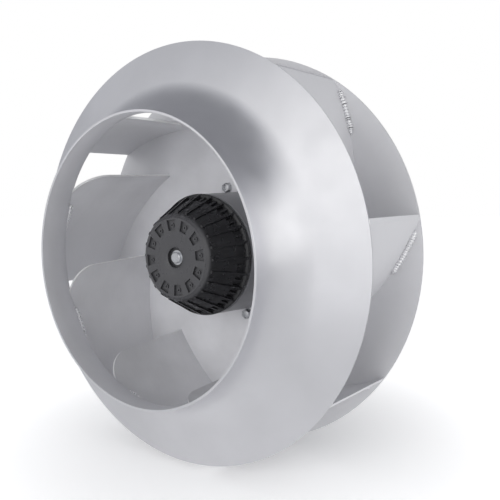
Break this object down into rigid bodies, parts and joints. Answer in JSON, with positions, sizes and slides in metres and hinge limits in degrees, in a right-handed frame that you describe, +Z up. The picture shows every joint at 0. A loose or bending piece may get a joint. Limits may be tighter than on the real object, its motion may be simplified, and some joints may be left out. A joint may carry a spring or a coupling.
{
  "type": "plug fan",
  "caption": "Free-running centrifugal fan: spun inlet shroud, backward-curved blades and backplate on a ribbed external-rotor motor with rear electronics.",
  "frame": {"origin": "centre of the motor's flat rear mounting face, on the fan axis", "axes": "+Y along the fan axis out of the rear face, so air enters from -Y; +Z up with the cable glands pointing down; +X to the right for someone looking into the inlet"},
  "size_m": [0.5829, 0.3015, 0.583],
  "materials": {
    "sheet_aluminium": "satin",
    "black_cast_aluminium": "satin",
    "black_steel": "satin",
    "steel": "satin",
    "bearing_steel": "polished",
    "ferrite": "matt",
    "electrical_steel": "satin",
    "copper": "satin",
    "insulation": "matt",
    "black_plastic": "matt",
    "board": "satin",
    "capacitor_can": "satin",
    "grey_plastic": "matt",
    "seal_rubber": "matt"
  },
  "bodies": {
    "motor": {"bearing_wave_spring": "steel", "motor_flange": "black_cast_aluminium", "stator_stack": "electrical_steel", "front_insulator": "insulation", "rear_insulator": "insulation", "stator_coils": "copper", "electronics_housing": "black_cast_aluminium", "housing_gasket": "seal_rubber", "housing_screws": "steel", "cover_seal": "seal_rubber", "terminal_cover": "black_plastic", "cover_screws": "steel", "circuit_board": "board", "board_screws": "steel", "capacitors": "capacitor_can", "power_module": "black_plastic", "terminal_block": "grey_plastic", "gland_bodies": "black_plastic", "gland_seals": "seal_rubber", "gland_nuts": "black_plastic", "front_bearing_outer_ring": "bearing_steel", "rear_bearing_outer_ring": "bearing_steel"},
    "impeller": {"blade_1": "sheet_aluminium", "blade_2": "sheet_aluminium", "blade_3": "sheet_aluminium", "blade_4": "sheet_aluminium", "blade_5": "sheet_aluminium", "blade_6": "sheet_aluminium", "blade_7": "sheet_aluminium", "blade_8": "sheet_aluminium", "front_shroud": "sheet_aluminium", "backplate": "sheet_aluminium", "impeller_washers": "steel", "impeller_screws": "steel", "rotor_cap": "black_cast_aluminium", "rotor_drum": "black_steel", "rotor_magnets": "ferrite", "shaft": "steel", "shaft_retaining_ring": "steel", "front_bearing_inner_ring": "bearing_steel", "rear_bearing_inner_ring": "bearing_steel"},
    "front_cage": {"front_bearing_balls": "bearing_steel", "front_bearing_cage": "insulation"},
    "rear_cage": {"rear_bearing_balls": "bearing_steel", "rear_bearing_cage": "insulation"}
  },
  "joints": [
    {"name": "impeller_spin", "type": "hinge", "parent": "motor", "child": "impeller", "pos_m": [0, -0.15, 0], "axis": [0, 1, 0], "continuous": true},
    {"name": "front_cage_spin", "type": "hinge", "parent": "motor", "child": "front_cage", "pos_m": [0, -0.184, 0], "axis": [0, 1, 0], "continuous": true},
    {"name": "rear_cage_spin", "type": "hinge", "parent": "motor", "child": "rear_cage", "pos_m": [0, -0.0745, 0], "axis": [0, 1, 0], "continuous": true}
  ],
  "couplings": [
    {"joint": "front_cage_spin", "follows": "impeller_spin", "ratio": 0.38149},
    {"joint": "rear_cage_spin", "follows": "impeller_spin", "ratio": 0.38149}
  ]
}
